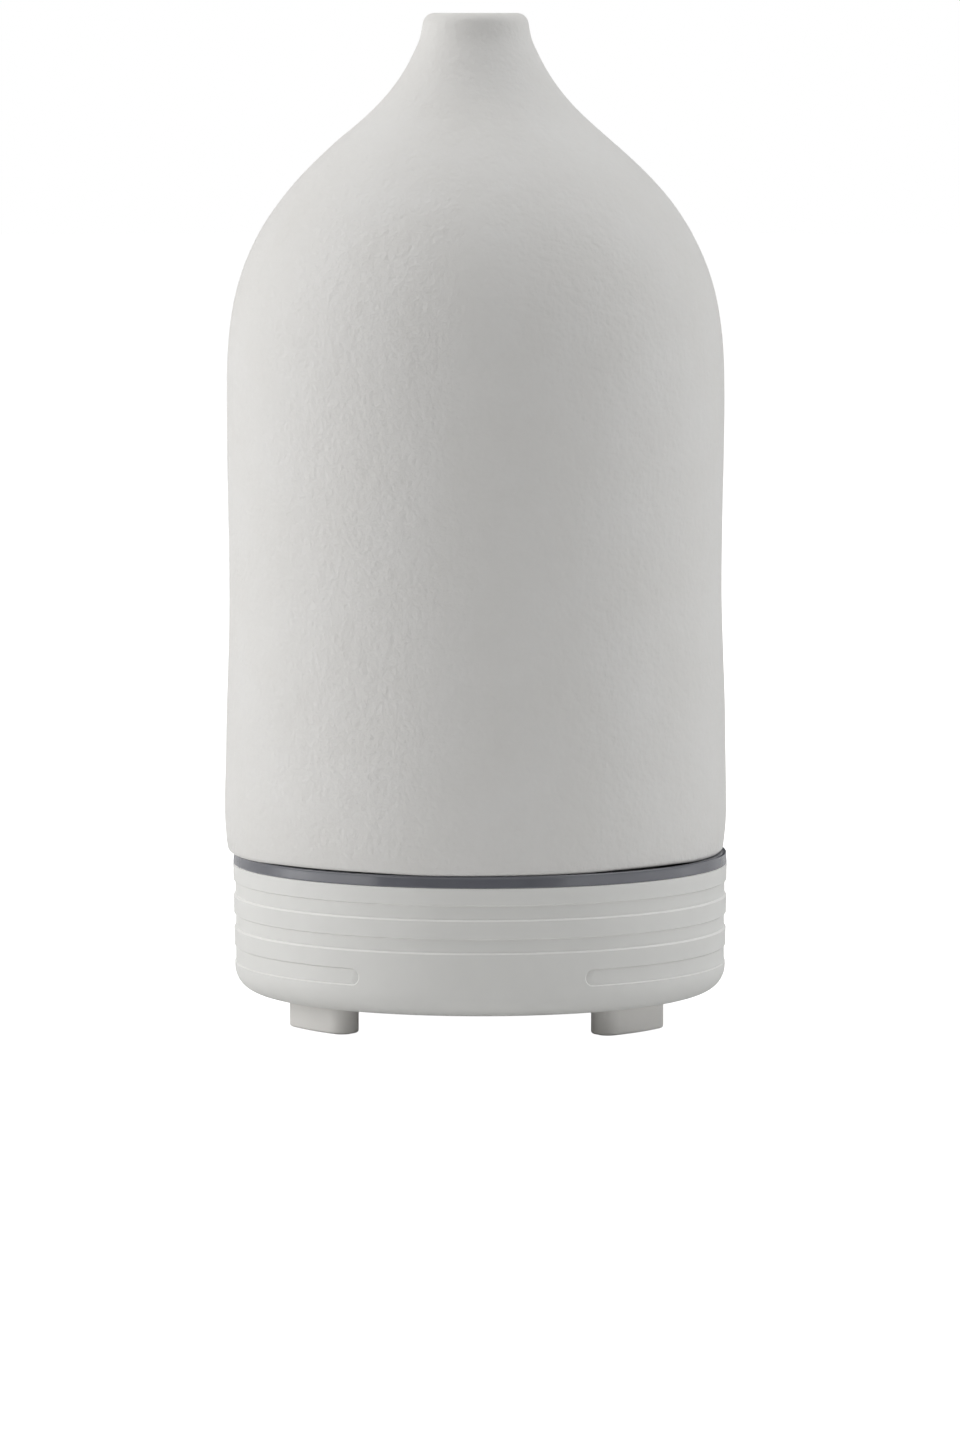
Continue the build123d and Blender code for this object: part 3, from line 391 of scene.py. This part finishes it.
def long_band(start, end, loops, middle):
    """A closed band round the Z axis with half-round ends: (vertices, faces).

    Each loop is (radius, half height, reach past the tips, push), push being how far it is moved
    straight out along the band's middle bearing; start and end are the tips, in degrees from +X.
    The first and the last loop are closed off.
    """
    bearing = radians((start + end) / 2)
    vertices = []
    for radius, half, reach, push in loops:
        tip = degrees((half - reach) / radius)
        bends = [(degrees(half * cos(b) / radius), half * sin(b)) for b in BEND_ANGLES]
        first = [(start + tip - turn, rise) for turn, rise in bends]
        last = [(end - tip + turn, rise) for turn, rise in bends]
        count = max(2, round((last[-1][0] - first[-1][0]) / BAND_STEP))
        step = (last[-1][0] - first[-1][0]) / count
        straight = [(first[-1][0] + step * i, half) for i in range(1, count)]
        pairs = first + straight + last[::-1]
        for sign in (1, -1):
            for angle, rise in pairs:
                a = radians(angle)
                across = radius * cos(a) + push * cos(bearing)
                along = radius * sin(a) + push * sin(bearing)
                vertices.append((across, along, middle + sign * rise))
    size = len(vertices) // len(loops)
    count = size // 2
    ring = list(range(count)) + [count + i for i in reversed(range(1, count - 1))]
    faces = []
    for level in range(len(loops) - 1):
        low = level * size
        for here, there in zip(ring, ring[1:] + ring[:1]):
            faces.append((low + here, low + there, low + size + there, low + size + here))
    for level, flip in ((0, 1), (len(loops) - 1, -1)):
        base = level * size
        for i in range(count - 1):
            lower = [count + j if 0 < j < count - 1 else j for j in (i, i + 1)]
            face = [base + i, base + lower[0], base + lower[1], base + i + 1]
            kept = [v for index, v in enumerate(face) if v not in face[:index]]
            faces.append(tuple(kept[::flip]))
    return vertices, faces


def rod(start, end, radius, sides=24):
    """A plain closed rod between two points: (vertices, faces)."""
    way = (Vector(end) - Vector(start)).normalized()
    across = way.orthogonal().normalized()
    other = way.cross(across)
    vertices = []
    for centre in (Vector(start), Vector(end)):
        for i in range(sides):
            a = 2 * pi * i / sides
            vertices.append(tuple(centre + (across * cos(a) + other * sin(a)) * radius))
    faces = [(i, (i + 1) % sides, sides + (i + 1) % sides, sides + i) for i in range(sides)]
    faces += [tuple(reversed(range(sides))), tuple(range(sides, 2 * sides))]
    return vertices, faces


def carved(shape, cutters, operation="DIFFERENCE"):
    """The shape with each cutter taken out of it, or joined to it, in order: (vertices, faces)."""
    helpers = []
    work = bmesh.new()
    for index, (vertices, faces) in enumerate([shape, *cutters]):
        mesh = bpy.data.meshes.new(f"carving_{index}")
        mesh.from_pydata(vertices, [], faces)
        work.clear()
        work.from_mesh(mesh)
        bmesh.ops.recalc_face_normals(work, faces=work.faces)
        work.to_mesh(mesh)
        helper = bpy.data.objects.new(f"carving_{index}", mesh)
        bpy.context.scene.collection.objects.link(helper)
        helpers.append(helper)
    work.free()
    for cutter in helpers[1:]:
        modifier = helpers[0].modifiers.new(cutter.name, "BOOLEAN")
        modifier.operation = operation
        modifier.solver = "EXACT"
        modifier.object = cutter
    bpy.context.view_layer.update()
    result = helpers[0].evaluated_get(bpy.context.evaluated_depsgraph_get()).to_mesh()
    vertices = [tuple(v.co) for v in result.vertices]
    faces = [tuple(polygon.vertices) for polygon in result.polygons]
    for helper in helpers:
        bpy.data.objects.remove(helper)
    return vertices, faces


def turned(profile, steps, shape=None):
    """A closed outline of (radius, height) turned about Z: (vertices, faces).

    shape may move each point.
    """
    vertices = []
    for i in range(steps):
        angle = 2 * pi * i / steps
        for index, (radius, height) in enumerate(profile):
            point = Vector((radius * cos(angle), radius * sin(angle), height))
            vertices.append(tuple(shape(point, index) if shape else point))
    count = len(profile)
    faces = []
    for i in range(steps):
        here = i * count
        there = (i + 1) % steps * count
        for j in range(count):
            k = (j + 1) % count
            faces.append((here + j, there + j, there + k, here + k))
    return vertices, faces


# ---- ceramic cover ---------------------------------------------------------------------------

NECK_RADIUS = 9.45
NECK_TOP = 178.0
MOUTH_LOW = 174.0
OUTLINE_STEP = 2.5
LIP_RADIUS = 2.1
LEAN = Vector((-0.8, 0, 0))
MOUTH_RADIUS = 6.2
MOUTH_ROUND = 1.1
FOOT_ROUND = 1.15
TURNED_STEPS = 320
BROAD_WAVE = (38.0, 0.16)  # size across and height of the unevenness, in mm
FINE_WAVE = (9.0, 0.04)
SHOULDER = (160, 14, 0.55)  # height, reach and swell of the fuller left shoulder
BELLY = (58, 14, 0.2)  # the same for the fuller belly


def cad_outline(node, low, high, outside):
    """A turned CAD node's outline between two heights, going up: (radius, height) in mm."""
    mesh = NODES[node].data
    rows = {}
    for polygon in mesh.polygons:
        facing = polygon.normal.xy.dot(polygon.center.xy.normalized())
        if abs(facing) > 0.2 and (facing > 0) == outside:
            for index in polygon.vertices:
                point = mesh.vertices[index].co
                rows[round(point.z / MM, 2)] = point.xy.length / MM
    known = sorted(rows.items())
    count = round((high - low) / OUTLINE_STEP)
    line = []
    for i in range(count + 1):
        height = low + (high - low) * i / count
        above = next((k for k, row in enumerate(known) if row[0] >= height), len(known) - 1)
        (z0, r0), (z1, r1) = known[max(above - 1, 0)], known[above]
        share = (height - z0) / (z1 - z0) if z1 > z0 else 0
        line.append((r0 + (r1 - r0) * min(max(share, 0), 1), height))
    middles = [((a[0] + 2 * b[0] + c[0]) / 4, b[1]) for a, b, c in zip(line, line[1:], line[2:])]
    return [line[0], *middles, line[-1]]


def foot_gap(bearing):
    """How far the cover's uneven foot stands off the ring at this bearing from the front."""
    left = exp(-(((bearing + 36) / 22) ** 4))
    right = exp(-(((bearing - 46) / 15) ** 4))
    back = exp(-(((abs(bearing) - 180) / 40) ** 2))
    return 0.27 * left + 0.27 * right + 0.15 * back


def add_ceramic_cover():
    """The slip-cast bottle, a little uneven as such pieces are, standing slightly to the left."""
    lip = arc((NECK_RADIUS - LIP_RADIUS + 0.1, COVER_TOP - LIP_RADIUS), LIP_RADIUS, 92, 8, 8)
    mouth = arc((MOUTH_RADIUS, COVER_TOP - MOUTH_ROUND), MOUTH_ROUND, 178, 90, 5)
    outline = cad_outline("ceramic_cover", COVER_FOOT + 2.3, NECK_TOP, True)
    bore = cad_outline("ceramic_cover", COVER_FOOT + 3, MOUTH_LOW, False)
    outside = smooth_line([lip[-1], *outline[::-1]], 0.9)
    foot = arc((44.1, COVER_FOOT + 1.1), FOOT_ROUND, -12, -88, 6)
    foot += [(43.4, COVER_FOOT - 0.02), (42.6, COVER_FOOT + 0.05)]
    inside = smooth_line([(bore[0][0], COVER_FOOT + 1.0), *bore, mouth[0]], 2.2)
    profile = lip[:-1] + outside + foot + inside[:-1] + mouth
    on_outside = len(lip) + len(outside) + 7

    def uneven(point, index):
        height = point.z
        outward = Vector((point.x, point.y, 0)).normalized()
        wide = noise.noise(point / BROAD_WAVE[0]) * BROAD_WAVE[1]
        fine = noise.noise(point / FINE_WAVE[0] + Vector((7, 3, 1))) * FINE_WAVE[1]
        middle, reach, most = SHOULDER
        fuller = most * max(0.0, -outward.x) * max(0.0, 1 - abs(height - middle) / reach) ** 2
        middle, reach, most = BELLY
        fuller += most * exp(-(((height - middle) / reach) ** 2))
        rim = max(0.0, 1 - (height - COVER_FOOT) / 2.0)
        wave = rim * foot_gap(degrees(atan2(outward.x, -outward.y)))
        swell = (wide + fine + fuller) if index < on_outside else wide
        return point + outward * swell + Vector((0, 0, wave)) + LEAN

    vertices, faces = turned(profile, TURNED_STEPS, uneven)
    add_piece("ceramic_cover_bottle", vertices, faces, "cover", "ceramic", ["ceramic_cover"])


add_ceramic_cover()

# ---- light ring ------------------------------------------------------------------------------

RING_OUT = CAD_RING[1].x / MM
RING_LOW = 28.25
RING_HIGH = CAD_RING[1].z / MM
RING_DRAFT = 0.13
RING_BORE = 38.7
RING_SEAT = 40.3  # outer radius of the recess for the cup's seal
RING_TONGUE = (40.2, 42.2, 25.6)  # inner and outer radius and foot of the tongue inside the wall
RING_STEP = 44.2  # outer radius of the cover's flat foot, which stands on the ring's top


def add_light_ring():
    """The smoky light guide, its outer face leaning in a little towards the top."""
    lower = arc((RING_OUT - 0.14, RING_LOW + 0.12), 0.12, -90, 0, 4)
    upper = arc((RING_OUT - RING_DRAFT - 0.3, RING_HIGH - 0.3), 0.3, 2, 90, 6)
    tall = RING_HIGH - RING_LOW - 0.5
    shares = (0.0, 0.1, 0.5, 0.9, 1.0)
    face = [(RING_OUT - 0.02 - RING_DRAFT * t, RING_LOW + 0.16 + tall * t) for t in shares]
    seat = RING_HIGH - 0.8
    tongue_in, tongue_out, tongue_foot = RING_TONGUE
    hidden = [
        (RING_STEP, RING_HIGH),
        (RING_SEAT, RING_HIGH),
        (RING_SEAT, seat),
        (RING_BORE, seat),
        (RING_BORE, RING_LOW),
        (tongue_in, RING_LOW),
        (tongue_in, tongue_foot),
        (tongue_out, tongue_foot),
        (tongue_out, RING_LOW),
        (RING_STEP, RING_LOW),
    ]
    first_hidden = len(lower + face + upper)

    def sunk(point, index):
        """The step under the cover's foot drops away where that foot stands off it."""
        if index - first_hidden in (0, 1):
            return point - Vector((0, 0, foot_gap(degrees(atan2(point.x, -point.y)))))
        return point

    vertices, faces = turned(lower + face + upper + hidden, TURNED_STEPS, sunk)
    add_piece("light_ring_rim", vertices, faces, "base", "smoky_plastic", ["light_ring"])


add_light_ring()

# ---- base shell and keys ---------------------------------------------------------------------

SHELL_LOW = (44.75, 9.7)
SHELL_HIGH = (45.05, 28.0)
SHELL_STEPS = 384
SHELL_BORE = 42.4
SHELL_LEDGE = (41.0, 22.6, 23.4)  # radius, foot and top of the ledge for the LED board
PLATE_REBATE = (39.2, 6.9)  # radius and top of the recess for the bottom cover
FLANGE_EDGE = (37.5, 8.5)  # radius and top of the wall's inward flange over that recess
SHELL_BOTTOM = 4.9
CORNER_START = 39.6
CORNER_POWER = 0.94  # the lower corner is a little fuller than an ellipse
FULL_GROOVES = ((16.4, 19.2), (22.3, 25.2))
GROOVE_DEPTH = 0.3
GROOVE_SLOPE = 0.2
CUTTER_REACH = 1.5  # how far the sloped cutter goes on past the key groove's floor
KEY_MIDDLE = 11.75
KEY_HALF_HEIGHT = 1.55
KEY_FLOOR = 44.56
KEY_ENDS = (26.7, 96.0)  # degrees from the front, as is the groove's end
KEY_GAP = 0.015
KEY_BACK = 2.6
KEY_FLANGE = (41.2, 42.1, 0.95)  # back and front radius, and how far it reaches past the face
KEY_STEM = (37.7, 41.6, 1.6)  # back and front radius, and its own radius
GROOVE_END = 166.0
INLET_HEIGHT = 12.4
INLET_BORE = 3.85
INLET_DISH = (5.4, 43.8)  # radius and floor of the shallow dish round the inlet


def wall_at(height):
    """The wall's radius at this height; it leans out a little towards the top."""
    share = (height - SHELL_LOW[1]) / (SHELL_HIGH[1] - SHELL_LOW[1])
    return SHELL_LOW[0] + share * (SHELL_HIGH[0] - SHELL_LOW[0])


def lipped_groove(low, high):
    """A full groove's outline, going up: a lip, a slope, a crease, the floor, a slope and a lip."""
    out = wall_at(low)
    lower = [(out, low - 0.25), (out + 0.03, low - 0.04), (out + 0.02, low)]
    slope = [(out - 0.38, low + 0.3)]
    crease = [(out - GROOVE_DEPTH, low + 0.5)]
    shares = (0.08, 0.5, 0.92, 1)
    floor = [(out - GROOVE_DEPTH, low + 0.5 + (high - low - 0.7) * t) for t in shares]
    out = wall_at(high)
    upper = [(out - 0.02, high), (out + 0.02, high + 0.05), (out, high + 0.3)]
    return lower + slope + crease + floor + upper


def add_base_shell():
    """The moulded base wall with its grooves, key windows and power inlet."""
    across = SHELL_LOW[0] - CORNER_START
    rise = SHELL_LOW[1] - SHELL_BOTTOM
    corner = [
        (
            CORNER_START + across * sin(radians(a)) ** CORNER_POWER,
            SHELL_LOW[1] - rise * cos(radians(a)) ** CORNER_POWER,
        )
        for a in range(0, 91, 5)
    ]
    wall = [(wall_at(z), z) for z in (10.0, 13.6, 14.6, 16.1)]
    land = [(wall_at(z), z) for z in (19.7, 20.7, 21.9)]
    brim = [(wall_at(z), z) for z in (25.7, 26.6, 27.8)] + arc((44.75, 27.95), 0.3, 4, 90, 5)
    ledge, ledge_foot, ledge_top = SHELL_LEDGE
    inside = [
        (SHELL_BORE, RING_LOW),
        (SHELL_BORE, ledge_top),
        (ledge, ledge_top),
        (ledge, ledge_foot),
        (SHELL_BORE, ledge_foot - (SHELL_BORE - ledge)),
        (SHELL_BORE, FLANGE_EDGE[1]),
        FLANGE_EDGE,
        (FLANGE_EDGE[0], PLATE_REBATE[1]),
        PLATE_REBATE,
        (PLATE_REBATE[0], SHELL_BOTTOM),
    ]
    lower_groove, upper_groove = (lipped_groove(*heights) for heights in FULL_GROOVES)
    outline = corner + wall + lower_groove + land + upper_groove + brim + inside
    cutters = []
    tip = degrees(GROOVE_SLOPE / KEY_FLOOR)
    floor_half = KEY_HALF_HEIGHT - GROOVE_SLOPE
    for side in (1, -1):
        tips = (KEY_ENDS[0] + tip, GROOVE_END - tip)
        start, end = sorted(-90 + side * bearing for bearing in tips)
        flared = (KEY_FLOOR + CUTTER_REACH, floor_half + CUTTER_REACH, CUTTER_REACH, 0)
        loops = [(KEY_FLOOR, floor_half, 0, 0), flared]
        cutters.append(long_band(start, end, loops, KEY_MIDDLE))
        tips = (KEY_ENDS[0] + tip, KEY_ENDS[1] - tip)
        start, end = sorted(-90 + side * bearing for bearing in tips)
        loops = [(KEY_FLOOR, floor_half, 0, -5), (KEY_FLOOR, floor_half, 0, 1)]
        cutters.append(long_band(start, end, loops, KEY_MIDDLE))
    dish_radius, dish_floor = INLET_DISH
    cutters.append(rod((0, 40, INLET_HEIGHT), (0, 46, INLET_HEIGHT), INLET_BORE, 48))
    cutters.append(rod((0, dish_floor, INLET_HEIGHT), (0, 47, INLET_HEIGHT), dish_radius, 64))
    vertices, faces = carved(turned(outline, SHELL_STEPS), cutters)
    add_piece("base_shell_moulding", vertices, faces, "base", "base_plastic", ["base_shell"])


def add_key(name, side, replaced):
    """A long key that fills its window, with a flange behind the wall and a stem to its switch.

    Its walls run straight along its press, so it slides without widening the joint line.
    """
    tip = degrees((GROOVE_SLOPE + KEY_GAP) / KEY_FLOOR)
    half = KEY_HALF_HEIGHT - GROOVE_SLOPE - KEY_GAP
    tips = (KEY_ENDS[0] + tip, KEY_ENDS[1] - tip)
    start, end = sorted(-90 + side * bearing for bearing in tips)
    face = [
        (KEY_FLOOR, half, 0, -KEY_BACK),
        (KEY_FLOOR, half, 0, -0.02),
        (KEY_FLOOR, half - 0.02, -0.02, 0),
    ]
    back, front, past = KEY_FLANGE
    flange = [(radius, half + past, past, 0) for radius in (back, front)]
    angle = radians(-90 + side * sum(KEY_ENDS) / 2)
    stem = [(r * cos(angle), r * sin(angle), KEY_MIDDLE) for r in KEY_STEM[:2]]
    bands = [long_band(start, end, loops, KEY_MIDDLE) for loops in (face, flange)]
    vertices, faces = carved(bands[0], [bands[1], rod(*stem, KEY_STEM[2])], "UNION")
    add_piece(name, vertices, faces, f"{name.split('_')[0]}_key", "key_plastic", [replaced])


add_base_shell()
add_key("mist_key_moulding", 1, "mist_button")
add_key("light_key_moulding", -1, "light_button")
